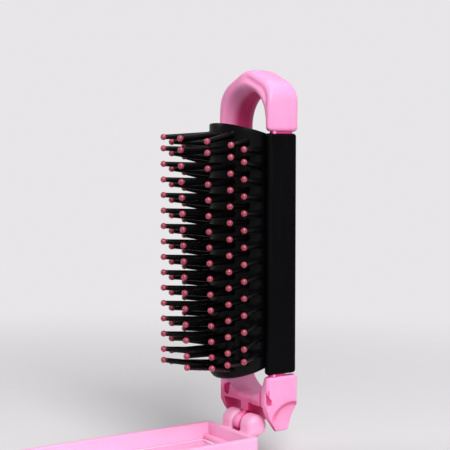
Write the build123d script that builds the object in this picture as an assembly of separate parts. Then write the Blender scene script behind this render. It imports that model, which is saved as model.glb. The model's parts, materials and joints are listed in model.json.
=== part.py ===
from build123d import *
from math import cos, radians, sin
import os

# A pocket hair brush that folds onto a mirror tray. The tray lies on the table with its
# mirror up, and the brush stands on its hinge with the pins over the mirror.
# Millimetres. X runs along the hinge, Y away from the tray, Z up. The origin is the centre
# of the tray's underside. Brush heights and depths count from the hinge axis.

# Tray and mirror
tray_length = 100.0
tray_width = 25.4
tray_wall = 1.8
tray_floor = 2.75
tray_corner = 0.9
tray_edge = 0.35
foot_reach = 0.9
foot_height = 4.0
mirror_depth = 3.55
mirror_thickness = 2.2
mirror_gap = 0.25
mirror_bevel = 0.8
mirror_bevel_depth = 0.35
tape_thickness = 0.6
tape_inset = 2.2
tray_height = tray_floor + tape_thickness + mirror_thickness + mirror_depth

# Hinge
axis_above_rim = 1.55
axis_beyond_tray = 3.6
barrel_radius = 3.2
knuckle_length = 5.7
knuckle_edge = 1.2
lug_width = 3.4
lug_side_gap = 0.2
pin_radius = 0.8
pin_clearance = 0.04
pin_recess = 0.3
blind_wall = 1.2
hinge_y = tray_length / 2 + axis_beyond_tray
hinge_z = tray_height + axis_above_rim

# Brush frame: a yoke at the hinge, two rails, an arch at the top
frame_width = 25.4
frame_depth = 10.7
frame_proud = 0.4
leg_width = 2.85
leg_round = 1.35
leg_end_round = 0.9
yoke_top = 15.0
bridge_bottom = 6.0
bridge_thickness = 2.0
well_rise = 0.5
web_depth = 7.2
web_top = 7.5
cheek_front_end = 5.4
toe_corner_depth = 0.75
toe_corner_height = 2.6
toe_front = 3.6
toe_back = 7.2
toe_drop = 1.2
heel_depth = 8.0
heel_drop = 0.6
heel_start = 6.4
scoop_depth = 1.7
scoop_top = 5.8
scoop_front = 2.6
taper_depth = 1.3
taper_top = 8.5
arch_shoulder = 11.2
arch_peak = 19.8
arch_shoulder_round = 8.0
arch_peak_round = 9.0
arch_crown = 1.2
loop_straight = 1.85
rail_radius = 0.9
rail_clearance = 0.05
rail_behind_front = 2.2
rail_socket = 4.0

# Side bars that sleeve the rails
bar_width = 2.7
bar_front = 0.2
bar_depth = 9.95
bar_round = 1.2
bar_length = 68.2
bar_gap = 0.5
bar_end_round = 0.9
half_frame = frame_width / 2
frame_back = frame_depth - frame_proud
leg_inside = half_frame - leg_width
bar_centre = leg_inside + bar_width / 2
bar_bottom = yoke_top + bar_gap
bar_top = bar_bottom + bar_length
arch_bottom = bar_top + bar_gap

# Sheet that carries the pins: half a tube, with short flanks along the side bars
sheet_thickness = 1.2
sheet_forward = 0.2
sheet_flank = 2.4
sheet_rise = 0.7
sheet_crown_length = 72.7
sheet_end_drop = 2.7
sheet_radius = leg_inside
sheet_centre_z = (bar_bottom + bar_top) / 2 + sheet_rise

# Pins and ball tips, in four columns on each side of the crown
column_spacing = 4.0
row_pitch = 4.4
pin_base_radius = 1.05
pin_end_radius = 0.64
ball_radius = 1.0
pin_sides = 6
end_row_lean = 1.2
crown_reach = 14.6
inner_reach = 11.4
outer_reach = 11.8
flank_reach = 11.6
pin_counts = {"crown": 16, "inner": 16, "outer": 15, "flank": 14}
# How far the balls of each column stand from the sheet
column_reaches = {
    "crown": crown_reach,
    "inner": inner_reach,
    "outer": outer_reach,
    "flank": flank_reach,
}
# The pitch of the ball tips and their shift upwards, in shares of the row pitch
tip_shares = {
    "left": {
        "crown": (0.987, 0.22),
        "inner": (1.005, -0.21),
        "outer": (1.008, 0.00),
        "flank": (1.053, -0.04),
    },
    "right": {
        "crown": (0.985, 0.11),
        "inner": (0.974, 0.00),
        "outer": (1.008, 0.02),
        "flank": (1.053, -0.03),
    },
}
# The lean of each column's top and bottom pins away from straight ahead, in degrees
lean_angles = {
    "left": {"crown": (9.7, 11.4), "inner": (12.9, 17.2), "outer": (34.0, 32.0), "flank": (35.0, 35.0)},
    "right": {"crown": (10.1, 19.6), "inner": (21.4, 29.1), "outer": (36.7, 31.9), "flank": (34.4, 34.8)},
}
ball_level_shares = (-0.86, -0.25, 0.38, 0.88)
ball_radius_shares = (0.60, 1.00, 0.94, 0.42)


def at_hinge(shape):
    return shape.moved(Location((0, hinge_y, hinge_z)))


def span(x0, x1, y0, y1, z0, z1):
    """A block between two corners."""
    size = (x1 - x0, y1 - y0, z1 - z0)
    middle = ((x0 + x1) / 2, (y0 + y1) / 2, (z0 + z1) / 2)
    return Pos(*middle) * Box(*size)


def along_x(face, x0, x1):
    """Extrude an outline drawn in Y and Z from x0 to x1."""
    return extrude(Plane.YZ.offset(x0) * face, amount=x1 - x0)


def along_y(face, y0, y1):
    """Extrude an outline drawn in X and Z from y0 to y1."""
    return extrude(Plane.XZ.offset(-y1) * face, amount=y1 - y0)


def barrel(radius, x0, x1):
    return along_x(Circle(radius), x0, x1)


def knuckle_span(side):
    inner = lug_width / 2 + lug_side_gap
    outer = inner + knuckle_length
    return (inner, outer) if side > 0 else (-outer, -inner)


def tray_shell():
    """Open tray with a low foot at the hinge end and two knuckles on its end wall."""
    body = extrude(RectangleRounded(tray_width, tray_length, tray_corner), amount=tray_height)
    inner_width = tray_width - 2 * tray_wall
    inner_length = tray_length - 2 * tray_wall
    inner_corner = tray_corner / 2
    pocket = extrude(RectangleRounded(inner_width, inner_length, inner_corner), amount=tray_height)
    body -= pocket.moved(Location((0, 0, tray_floor)))
    rim_edges = body.edges().group_by(Axis.Z)[-1]
    body = fillet(rim_edges, tray_edge)
    half = tray_width / 2
    end = tray_length / 2
    foot = span(-half, half, end - tray_wall, end + foot_reach, 0, foot_height)
    foot_edges = foot.edges().filter_by(Axis.Z).sort_by(Axis.Y)[-2:]
    body += fillet(foot_edges, tray_corner - tray_edge)
    for side in (-1, 1):
        body += at_hinge(knuckle(side))
    bore_end = knuckle_span(1)[1] - blind_wall
    bore = barrel(pin_radius + pin_clearance, knuckle_span(-1)[0], bore_end)
    return body - at_hinge(bore)


def knuckle(side):
    """Round above and behind, square in front where it grows out of the tray's end wall."""
    x0, x1 = knuckle_span(side)
    round_part = barrel(barrel_radius, x0, x1)
    outer_rim = round_part.edges().filter_by(GeomType.CIRCLE).sort_by(Axis.X)[-1 if side > 0 else 0]
    round_part = fillet(outer_rim, knuckle_edge)
    wall = -axis_beyond_tray - tray_wall / 2
    foot = foot_height - hinge_z
    root = [
        (wall, -axis_above_rim - tray_edge),
        (-axis_beyond_tray, -axis_above_rim - tray_edge),
        (-barrel_radius, -axis_above_rim),
        (-barrel_radius, 0),
        (0, 0),
        (0, -barrel_radius),
        (-axis_beyond_tray, foot),
        (wall, foot),
    ]
    root_start = x0 + knuckle_edge / 2 if side < 0 else x0
    root_end = x1 - knuckle_edge / 2 if side > 0 else x1
    return round_part + along_x(make_face(Polyline(*root, close=True)), root_start, root_end)


def hinge_pin():
    start = knuckle_span(-1)[0] + pin_recess
    end = knuckle_span(1)[1] - blind_wall - pin_recess
    return at_hinge(barrel(pin_radius, start, end))


def mirror_glass():
    width = tray_width - 2 * tray_wall - 2 * mirror_gap
    length = tray_length - 2 * tray_wall - 2 * mirror_gap
    glass = extrude(Rectangle(width, length), amount=mirror_thickness)
    top_edges = glass.edges().group_by(Axis.Z)[-1]
    glass = chamfer(top_edges, mirror_bevel_depth, mirror_bevel)
    return glass.moved(Location((0, 0, tray_floor + tape_thickness)))


def mirror_tape():
    width = tray_width - 2 * tray_wall - 2 * tape_inset
    length = tray_length - 2 * tray_wall - 2 * tape_inset
    tape = extrude(Rectangle(width, length), amount=tape_thickness)
    return tape.moved(Location((0, 0, tray_floor)))


def rail_hole(z0, z1, side):
    hole = Cylinder(rail_radius + rail_clearance, z1 - z0)
    return hole.moved(Location((side * bar_centre, rail_behind_front, (z0 + z1) / 2)))


def frame_arch():
    """Gabled arch with a round-headed opening, its front and back edges rounded."""
    shoulder_z = arch_bottom + arch_shoulder
    peak_z = arch_bottom + arch_peak
    outline = [
        (half_frame, arch_bottom),
        (half_frame, shoulder_z),
        (0, peak_z),
        (-half_frame, shoulder_z),
        (-half_frame, arch_bottom),
    ]
    face = make_face(Polyline(*outline, close=True))
    face = fillet(face.vertices().sort_by(Axis.Y)[-1], arch_peak_round)
    shoulders = face.vertices().sort_by(Axis.Y)[2:4]
    face = fillet(shoulders, arch_shoulder_round)
    head = Pos(0, arch_bottom + loop_straight) * Circle(leg_inside)
    slot = Pos(0, arch_bottom) * Rectangle(2 * leg_inside, 2 * loop_straight)
    arch = along_y(face - head - slot, -frame_proud, frame_back)
    arch &= arch_side_view(face.bounding_box().max.Y)
    rims = arch.edges().group_by(Axis.Y)
    rim_edges = [e for e in rims[0] + rims[-1] if e.center().Z > arch_bottom + leg_end_round]
    arch = fillet(rim_edges, leg_round)
    arch = fillet(arch.edges().group_by(Axis.Z)[0], leg_end_round)
    for side in (-1, 1):
        arch -= rail_hole(arch_bottom - bar_gap, arch_bottom + rail_socket, side)
    return at_hinge(arch)


def arch_side_view(apex):
    """Seen from the side, the top of the arch is a shallow dome."""
    half_depth = frame_depth / 2
    dome_radius = (arch_crown * arch_crown + half_depth * half_depth) / (2 * arch_crown)
    side = Pos(half_depth - frame_proud, arch_bottom) * Rectangle(frame_depth, 2 * arch_peak)
    dome = Pos(half_depth - frame_proud, apex - dome_radius) * Circle(dome_radius)
    return along_x(side & dome, -half_frame, half_frame)


def cheek_profile():
    """Side view of the yoke: straight front, cut-back toe, tapered heel."""
    front = -frame_proud
    points = [
        (front, yoke_top),
        (front, cheek_front_end),
        (toe_corner_depth, toe_corner_height),
        (toe_front, -toe_drop),
        (toe_back, -toe_drop),
        (heel_depth, -heel_drop),
        (frame_back, heel_start),
        (frame_back, yoke_top),
    ]
    return make_face(Polyline(*points, close=True))


def cheek_wedge(side, depth, top, front):
    """Wedge off the outer face of a cheek, deepest at the toe."""
    outer = side * half_frame
    beyond = side * (half_frame + depth)
    deepest = side * (half_frame - depth)
    points = [(outer, top), (beyond, top), (beyond, -toe_drop), (deepest, -toe_drop)]
    return along_y(make_face(Polyline(*points, close=True)), front, frame_depth)


def frame_yoke():
    """Two legs on a bridge, cheeks that pass the knuckles, and one lug on the hinge pin."""
    body = along_x(cheek_profile(), -half_frame, half_frame)
    well_top = yoke_top + well_rise
    well_drop = well_top - bridge_bottom - bridge_thickness
    well = Pos(0, well_top) * Ellipse(leg_inside, well_drop)
    body -= along_y(well, -frame_depth, 2 * frame_depth)
    body -= span(-leg_inside, leg_inside, -frame_depth, 2 * frame_depth, -frame_depth, bridge_bottom)
    sides = body.edges().group_by(Axis.Y)
    long_edges = [e for e in sides[0] + sides[-1] if e.length > leg_width + leg_end_round]
    body = fillet([e for e in long_edges if e.center().Z > heel_start], leg_round)
    body = fillet(body.edges().group_by(Axis.Z)[-1], leg_end_round)
    for side in (-1, 1):
        body -= cheek_wedge(side, taper_depth, taper_top, -2 * frame_proud)
        body -= cheek_wedge(side, scoop_depth, scoop_top, scoop_front)
        body -= rail_hole(yoke_top - rail_socket, yoke_top, side)
    half_lug = lug_width / 2
    lug = barrel(barrel_radius, -half_lug, half_lug)
    lug += span(-half_lug, half_lug, 0, web_depth, 0, web_top)
    body += lug
    return at_hinge(body - barrel(pin_radius + pin_clearance, -half_lug, half_lug))


def side_bar(side):
    bar = extrude(RectangleRounded(bar_width, bar_depth, bar_round), amount=bar_length)
    bar = fillet(bar.faces().filter_by(Axis.Z).edges(), bar_end_round)
    bar = bar.moved(Location((side * bar_centre, bar_depth / 2 - bar_front, bar_bottom)))
    return at_hinge(bar - rail_hole(bar_bottom, bar_top, side))


def side_rail(side):
    length = bar_length + 2 * bar_gap + 2 * rail_socket
    rail = Cylinder(rail_radius, length)
    middle = (bar_bottom + bar_top) / 2
    return at_hinge(rail.moved(Location((side * bar_centre, rail_behind_front, middle))))


def sheet_point(arc, depth, side):
    """A point of the sheet, by its distance along the outer arc and depth under the surface."""
    turn = arc / sheet_radius
    reach = sheet_radius - depth
    return (side * reach * sin(turn), -sheet_forward - reach * cos(turn))


def sheet_arc(arc0, arc1, depth, side):
    stops = (arc0, (arc0 + arc1) / 2, arc1)
    return ThreePointArc(*[sheet_point(arc, depth, side) for arc in stops])


def sheet_slice(index, side):
    """One lengthwise slice of the sheet. The last one also has the flank."""
    arc0 = index * column_spacing
    arc1 = arc0 + column_spacing
    last = index == len(pin_counts) - 1
    if last:
        arc1 = sheet_quarter()
    outer = sheet_arc(arc0, arc1, 0, side)
    inner = sheet_arc(arc0, arc1, sheet_thickness, side)
    start = Line(outer @ 0, inner @ 0)
    end = Line(outer @ 1, inner @ 1)
    face = make_face(outer + inner + start + end)
    if last:
        flank = Rectangle(sheet_thickness, sheet_flank + sheet_forward)
        flank_x = sheet_radius - sheet_thickness / 2
        face += Pos(side * flank_x, (sheet_flank - sheet_forward) / 2) * flank
    slab = extrude(face, amount=sheet_crown_length / 2, both=True)
    return slab & sheet_side_view()


def sheet_quarter():
    return radians(90) * sheet_radius


def sheet_side_view():
    """The ends slope from the crown back towards the side bars."""
    front = -2 * sheet_radius
    crown = -sheet_forward - sheet_radius
    half_crown = sheet_crown_length / 2
    slope = sheet_end_drop / sheet_radius
    half_front = half_crown + slope * (crown - front)
    half_back = half_crown - slope * (sheet_flank - crown)
    points = [(front, half_front), (sheet_flank, half_back), (sheet_flank, -half_back), (front, -half_front)]
    return along_x(make_face(Polyline(*points, close=True)), -2 * sheet_radius, 2 * sheet_radius)


def pin_line(index, row, side):
    """Where one pin starts on the sheet and where the middle of its ball is."""
    name = list(pin_counts)[index]
    rows = pin_counts[name]
    reach = column_reaches[name]
    pitch_share, shift_share = tip_shares[hands[side]][name]
    lean_top, lean_bottom = lean_angles[hands[side]][name]
    arc = min((index + 0.5) * column_spacing, sheet_quarter())
    base_x, base_y = sheet_point(arc, 0, side)
    place = row - (rows - 1) / 2
    lean = lean_bottom + (lean_top - lean_bottom) * row / (rows - 1)
    tip_x = base_x + side * reach * sin(radians(lean))
    tip_y = base_y - reach * cos(radians(lean))
    tip_z = (place * pitch_share + shift_share) * row_pitch
    if row == 0:
        tip_z += end_row_lean
    if row == rows - 1:
        tip_z -= end_row_lean
    return Vector(base_x, base_y, place * row_pitch), Vector(tip_x, tip_y, tip_z)


def pin_section(centre, direction, radius):
    """A regular outline across the pin at one point."""
    plane = Plane(origin=centre, x_dir=(0, 0, 1), z_dir=direction)
    return plane * RegularPolygon(radius, pin_sides)


def one_pin(base, ball):
    direction = (ball - base).normalized()
    root = base - direction * sheet_thickness / 2
    end = ball + direction * ball_radius * ball_level_shares[0]
    sections = [
        pin_section(root, direction, pin_base_radius),
        pin_section(end, direction, pin_end_radius),
    ]
    return loft(sections, ruled=True)


def one_ball(base, ball):
    direction = (ball - base).normalized()
    sections = []
    for level, size in zip(ball_level_shares, ball_radius_shares):
        centre = ball + direction * ball_radius * level
        sections.append(pin_section(centre, direction, ball_radius * size))
    return loft(sections, ruled=True)


def at_sheet(shape):
    return at_hinge(shape.moved(Location((0, 0, sheet_centre_z))))


def pin_strip(index, side, rows):
    """A slice of the sheet with its column of pins."""
    pins = [one_pin(*pin_line(index, row, side)) for row in range(rows)]
    return at_sheet(sheet_slice(index, side).fuse(*pins))


def ball_column(index, side, rows):
    balls = [one_ball(*pin_line(index, row, side)) for row in range(rows)]
    return at_sheet(Compound(children=balls))


def save(shape, name):
    solids = shape.solids()
    body = solids[0] if len(solids) == 1 else Compound(children=list(solids))
    export_step(body, f"parts/{name}.step")


hands = {-1: "left", 1: "right"}
save(tray_shell(), "tray_shell")
save(mirror_glass(), "mirror_glass")
save(mirror_tape(), "mirror_tape")
save(hinge_pin(), "hinge_pin")
save(frame_arch(), "frame_arch")
save(frame_yoke(), "frame_yoke")
for side, hand in hands.items():
    save(side_bar(side), f"{hand}_side_bar")
    save(side_rail(side), f"{hand}_rail")
    for index, (column, rows) in enumerate(pin_counts.items()):
        save(pin_strip(index, side, rows), f"{hand}_{column}_strip")
        save(ball_column(index, side, rows), f"{hand}_{column}_balls")
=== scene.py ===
import json
from math import cos, exp, pi, radians, sin, sqrt, tan

import bmesh
import bpy
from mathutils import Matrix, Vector


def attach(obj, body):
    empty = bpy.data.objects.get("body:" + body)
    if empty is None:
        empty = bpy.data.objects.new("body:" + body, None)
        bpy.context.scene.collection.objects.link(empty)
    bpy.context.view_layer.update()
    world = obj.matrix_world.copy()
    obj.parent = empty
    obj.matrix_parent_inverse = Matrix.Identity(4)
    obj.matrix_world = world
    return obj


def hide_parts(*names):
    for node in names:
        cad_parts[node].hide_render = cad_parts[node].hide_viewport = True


# A pocket brush that folds onto a mirror tray: pink moulded frame and tray, black pin sheet,
# rose ball tips. Shapes are written in millimetres from the hinge axis and made in metres.
# X runs from the far side to the near one, Y from the tray to the brush's back, and Z up.
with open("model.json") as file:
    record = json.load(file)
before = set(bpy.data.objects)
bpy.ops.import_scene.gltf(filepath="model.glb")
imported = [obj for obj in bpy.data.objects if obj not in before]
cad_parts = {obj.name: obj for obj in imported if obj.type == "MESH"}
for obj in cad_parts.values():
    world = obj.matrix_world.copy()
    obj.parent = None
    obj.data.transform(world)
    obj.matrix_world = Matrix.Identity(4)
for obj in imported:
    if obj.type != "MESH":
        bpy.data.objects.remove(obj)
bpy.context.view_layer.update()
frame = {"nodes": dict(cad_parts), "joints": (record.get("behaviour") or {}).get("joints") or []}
MM = 0.001
HINGE = Vector(frame["joints"][0]["pos_m"])

# The photograph's camera, fitted to the ball tips and the frame's edges
PHOTO_SIZE = 450
PHOTO_MIDDLE = PHOTO_SIZE / 2
FOCAL_PIXELS = 1100.0
CAMERA_DISTANCE = 317.94
CAMERA_AZIMUTH = radians(56.62)
CAMERA_PITCH = radians(3.49)
PAD_MIDDLE = Vector((0, -0.125, 50.3))
PAD_MIDDLE_U = 243.757
PAD_MIDDLE_V = 249.844
SENSOR_WIDTH = 36
NEAREST_SEEN = 0.01


def place_camera():
    """Put the camera where the pad's middle falls on its own pixel of the photograph."""
    back = Vector((
        sin(CAMERA_AZIMUTH) * cos(CAMERA_PITCH),
        -cos(CAMERA_AZIMUTH) * cos(CAMERA_PITCH),
        sin(CAMERA_PITCH),
    ))
    right = Vector((cos(CAMERA_AZIMUTH), sin(CAMERA_AZIMUTH), 0))
    up = back.cross(right)
    per_pixel = CAMERA_DISTANCE / FOCAL_PIXELS
    aside = (PAD_MIDDLE_U - PHOTO_MIDDLE) * per_pixel
    above = (PHOTO_MIDDLE - PAD_MIDDLE_V) * per_pixel
    spot = HINGE + (PAD_MIDDLE + back * CAMERA_DISTANCE - right * aside - up * above) * MM
    lens = bpy.data.cameras.new("photo_camera")
    lens.sensor_width = SENSOR_WIDTH
    lens.lens = FOCAL_PIXELS / PHOTO_SIZE * SENSOR_WIDTH
    lens.clip_start = NEAREST_SEEN
    camera = bpy.data.objects.new("photo_camera", lens)
    camera.location = spot
    camera.rotation_euler = (-back).to_track_quat("-Z", "Y").to_euler()
    bpy.context.scene.collection.objects.link(camera)
    bpy.context.scene.camera = camera


# Finishes

class Value:
    """One output of a finish's nodes, with sums written as sums."""

    def __init__(self, finish, socket):
        self.finish = finish
        self.socket = socket

    def math(self, operation, *values):
        sockets = dict(enumerate(values))
        return self.finish.node("Math", {"operation": operation}, sockets)

    def __add__(self, other):
        return self.math("ADD", self, other)

    def __radd__(self, other):
        return self.math("ADD", other, self)

    def __sub__(self, other):
        return self.math("SUBTRACT", self, other)

    def __rsub__(self, other):
        return self.math("SUBTRACT", other, self)

    def __mul__(self, other):
        return self.math("MULTIPLY", self, other)

    def __rmul__(self, other):
        return self.math("MULTIPLY", other, self)

    def __truediv__(self, other):
        return self.math("DIVIDE", self, other)

    def __rtruediv__(self, other):
        return self.math("DIVIDE", other, self)

    def __pow__(self, other):
        return self.math("POWER", self, other)

    def __rpow__(self, other):
        return self.math("POWER", other, self)

    def size(self):
        return self.math("ABSOLUTE", self)

    def at_least(self, other):
        return self.math("MAXIMUM", self, other)

    def between(self, low, high):
        """0 below low, 1 above high, and a soft step between them."""
        settings = {"interpolation_type": "SMOOTHSTEP"}
        sockets = {"Value": self, "From Min": low, "From Max": high}
        return self.finish.node("MapRange", settings, sockets)

    def between_mm(self, low, high):
        return self.between(low * MM, high * MM)


# Blender's Mix node keeps a set of sockets for each kind of data. These are the colour's.
MIX_SHARE = 0
MIX_FIRST = 6
MIX_SECOND = 7
MIX_RESULT = 2


class Finish:
    """The nodes of a material or of the world."""

    def __init__(self, owner):
        self.owner = owner
        owner.use_nodes = True
        self.tree = owner.node_tree
        self.tree.nodes.clear()

    def node(self, kind, settings=None, sockets=None, output=0):
        """Add a node: its settings first, then the values or links of its sockets."""
        made = self.tree.nodes.new("ShaderNode" + kind)
        for name, value in (settings or {}).items():
            setattr(made, name, value)
        for name, value in (sockets or {}).items():
            if isinstance(value, Value):
                self.tree.links.new(value.socket, made.inputs[name])
            else:
                made.inputs[name].default_value = value
        return Value(self, made.outputs[output]) if made.outputs else None

    def place(self):
        return self.node("TexCoord", output="Object")

    def parts_from(self, place, spot):
        """A place's X, Y and Z, measured from a spot in millimetres from the hinge."""
        start = HINGE + Vector(spot) * MM
        moved = self.node("VectorMath", {"operation": "SUBTRACT"}, {0: place, 1: start})
        split = self.node("SeparateXYZ", {}, {0: moved}).socket.node
        return [Value(self, output) for output in split.outputs]

    def stretch(self, place, scale):
        return self.node("VectorMath", {"operation": "MULTIPLY"}, {0: place, 1: scale})

    def cloud(self, place, per_metre, detail=2.0, roughness=0.5):
        sockets = {"Vector": place, "Scale": per_metre, "Detail": detail, "Roughness": roughness}
        return self.node("TexNoise", {}, sockets)

    def mix(self, share, first, second):
        sockets = {MIX_SHARE: share, MIX_FIRST: first, MIX_SECOND: second}
        return self.node("Mix", {"data_type": "RGBA"}, sockets, output=MIX_RESULT)

    def relief(self, height, depth_mm, strength):
        sockets = {"Height": height, "Distance": depth_mm * MM, "Strength": strength}
        return self.node("Bump", {}, sockets)

    def surface(self, sockets):
        shader = self.node("BsdfPrincipled", {}, sockets)
        self.node("OutputMaterial", {}, {"Surface": shader})
        return self.owner


def new_finish(name):
    return Finish(bpy.data.materials.new(name))


def colour(red, green, blue):
    """A colour written in the 0 to 255 numbers of a picture."""
    def linear(part):
        share = part / 255
        return share / 12.92 if share <= 0.04045 else ((share + 0.055) / 1.055) ** 2.4
    return (linear(red), linear(green), linear(blue), 1.0)


CANDY_PINK = colour(251, 158, 206)
COOLER_PINK = colour(248, 149, 199)
STREAK_PINK = colour(254, 170, 213)
PAINTED_LIGHT_PINK = colour(255, 205, 232)
PAINTED_SHADE_PINK = colour(205, 36, 118)
PAINTED_DEEP_SHADE_PINK = colour(208, 18, 104)
SHEET_BLACK = colour(4, 4, 5)
SHEET_BLACK_WORN = colour(7, 6, 8)
DUST = colour(60, 52, 60)
BAR_BLACK = colour(3, 3, 4)
BAR_BLACK_WORN = colour(6, 5, 7)
BAR_SCUFF = colour(28, 25, 30)
ROSE = colour(150, 46, 70)
LIGHTER_ROSE = colour(170, 62, 86)
DIP_ROSE = colour(120, 32, 56)
SILVER = colour(238, 238, 242)
SPECK = colour(196, 190, 196)
GROUND_GLASS = colour(255, 240, 248)
FOAM_HOLE = colour(214, 212, 205)
FOAM = colour(236, 234, 228)
WIRE = colour(178, 178, 184)
WIRE_SHINE = colour(206, 206, 210)
ROOM_PALE = colour(232, 230, 232)
BOARD_PALE = colour(214, 212, 214)
BOARD_GRAIN = colour(208, 206, 208)

# How near a facing surface must be to paint shade, a deeper pink, on pink plastic
PAINTED_SHADE_REACH = 16.0
OPENNESS_SAMPLES = 8


def pink_moulding(name, shade_full_at, shade_gone_at, inside=None, painted_light_share=0.0):
    """Candy pink plastic: slow changes of tone, a fine mould grain, faint handling marks and
    painted shade, a deeper pink in recesses that stands in for shade and for light passing from
    wall to wall. The two openness values are where the painted shade is full and where it is
    gone. Inside, when given, paints shade at more places, and the share of a paler pink is
    painted light, for a part that is more strongly lit."""
    f = new_finish(name)
    place = f.place()
    slow = f.cloud(place, per_metre=55.0, detail=3.0)
    flow = f.cloud(f.stretch(place, (1.0, 1.0, 0.22)), per_metre=240.0, detail=4.0, roughness=0.6)
    grain = f.cloud(place, per_metre=5200.0)
    marks = f.cloud(f.stretch(place, (1.0, 0.12, 1.0)), per_metre=1500.0, roughness=0.7)
    marks = marks.between(0.60, 0.74)
    tone = f.mix(slow.between(0.3, 0.7), CANDY_PINK, COOLER_PINK)
    tone = f.mix(flow.between(0.35, 0.75) * 0.35, tone, STREAK_PINK)
    # A paler pink painted on as stronger light
    if painted_light_share:
        tone = f.mix(painted_light_share, tone, PAINTED_LIGHT_PINK)
    # Painted shade: a deeper pink where near surfaces close a place in
    sockets = {"Distance": PAINTED_SHADE_REACH * MM}
    openness = f.node("AmbientOcclusion", {"samples": OPENNESS_SAMPLES}, sockets, output="AO")
    tone = f.mix(openness.between(shade_full_at, shade_gone_at), PAINTED_SHADE_PINK, tone)
    sheen = 0.30 + 0.10 * slow + 0.10 * marks + 0.05 * grain
    # More painted shade, a still deeper pink, where inside says, with a rougher surface there
    if inside:
        painted_shade = inside(f, place)
        tone = f.mix(painted_shade, tone, PAINTED_DEEP_SHADE_PINK)
        sheen = sheen + 0.4 * painted_shade
    height = grain * 0.55 + flow * 0.35 + marks * 0.1
    return f.surface({
        "Base Color": tone,
        "Roughness": sheen,
        "Normal": f.relief(height, depth_mm=0.03, strength=0.3),
        "Subsurface Weight": 0.15,
        "Subsurface Radius": (1.0, 0.22, 0.45),
        "Subsurface Scale": 0.0015,
        "IOR": 1.49,
        "Specular IOR Level": 0.28,
    })


# The painted shade in the arch's opening, a deeper pink: its share, how far out from the
# opening's edge it fades, the depths at which it starts and is full, the depth at which it
# starts to fade, and how much it then loses
ARCH_SHADE = 0.9
ARCH_SHADE_EDGE = (0.2, 1.4)
ARCH_SHADE_START = (1.6, 5.2)
ARCH_SHADE_END = 7.8
ARCH_SHADE_LOSS = 0.55


def arch_painted_shade(f, place):
    """The share of painted shade at a place inside the arch's opening, most at half depth."""
    across, depth, up = f.parts_from(place, (0, 0, HEAD_MIDDLE))
    up = up.at_least(0.0)
    radius = (across * across + up * up) ** 0.5
    near, far = ARCH_SHADE_EDGE
    near_opening = 1 - radius.between_mm(LEG_INSIDE + near, LEG_INSIDE + far)
    start = depth.between_mm(*ARCH_SHADE_START)
    end = 1 - ARCH_SHADE_LOSS * depth.between_mm(ARCH_SHADE_END, BACK)
    return ARCH_SHADE * near_opening * start * end


# Places on the yoke painted with shade, a deeper pink: the share of painted shade, the
# softness of the border and the box, from its low corner to its high one
YOKE_SHADE_BOXES = [
    (0.95, 0.25, (-10.2, -0.3, 6.8), (-7.2, 3.0, 10.2)),
    (0.80, 0.15, (10.8, -0.1, 6.9), (12.45, 2.2, 11.2)),
    (0.60, 1.20, (-13.0, -1.6, 1.0), (9.6, 4.5, 7.6)),
    (0.55, 0.80, (7.6, -1.6, 4.4), (9.2, 4.0, 10.4)),
    (0.60, 1.60, (-14.0, -1.6, 0.0), (-2.5, 4.5, 8.8)),
    (0.45, 0.80, (9.0, -1.6, -8.0), (12.0, 4.0, -1.0)),
]
# The painted shade under the rim of a scoop: its share, the shares of the scoop's reach over
# which it rises and falls, and how far from the middle it starts and is full
SCOOP_SHADE = 0.6
SCOOP_SHADE_RISE = (0.05, 0.80)
SCOOP_SHADE_FALL = (0.90, 0.97)
SCOOP_SHADE_ASIDE = (11.6, 12.2)


def yoke_painted_shade(f, place):
    """The share of painted shade at a place in one of the yoke's boxes, or under the rim of a
    scoop.
    """
    parts = f.parts_from(place, (0, 0, 0))
    back, up = [
        (part - middle * MM) / (reach * MM)
        for part, middle, reach in zip(parts[1:], SCOOP_MIDDLE[1:], SCOOP_REACH[1:])
    ]
    around = (back * back + up * up) ** 0.5
    total = SCOOP_SHADE * around.between(*SCOOP_SHADE_RISE) * (1 - around.between(*SCOOP_SHADE_FALL))
    total = total * parts[0].size().between_mm(*SCOOP_SHADE_ASIDE)
    for share, soft, low, high in YOKE_SHADE_BOXES:
        painted_shade = share
        for part, start, end in zip(parts, low, high):
            rise = part.between_mm(start - soft, start + soft)
            fall = 1 - part.between_mm(end - soft, end + soft)
            painted_shade = painted_shade * rise * fall
        total = total.at_least(painted_shade)
    return total


def black_moulding():
    """Black rubbery plastic with a soft shine, broken by fine waves, finger marks and dust."""
    f = new_finish("black_moulding")
    place = f.place()
    slow = f.cloud(place, per_metre=70.0, detail=3.0)
    waves = f.cloud(place, per_metre=520.0, detail=3.0, roughness=0.55)
    smear = f.cloud(f.stretch(place, (1.0, 1.0, 0.3)), per_metre=260.0, detail=4.0, roughness=0.65)
    smear = smear.between(0.42, 0.72)
    dust = f.cloud(place, per_metre=4200.0, detail=1.0).between(0.73, 0.79)
    tone = f.mix(slow, SHEET_BLACK, SHEET_BLACK_WORN)
    tone = f.mix(dust * 0.10, tone, DUST)
    sheen = 0.25 + 0.08 * smear + 0.20 * dust + 0.05 * slow
    return f.surface({
        "Base Color": tone,
        "Roughness": sheen,
        "Normal": f.relief(waves * 0.8 + dust * 0.2, depth_mm=0.05, strength=0.15),
        "IOR": 1.45,
        "Specular IOR Level": 0.15,
    })


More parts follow.
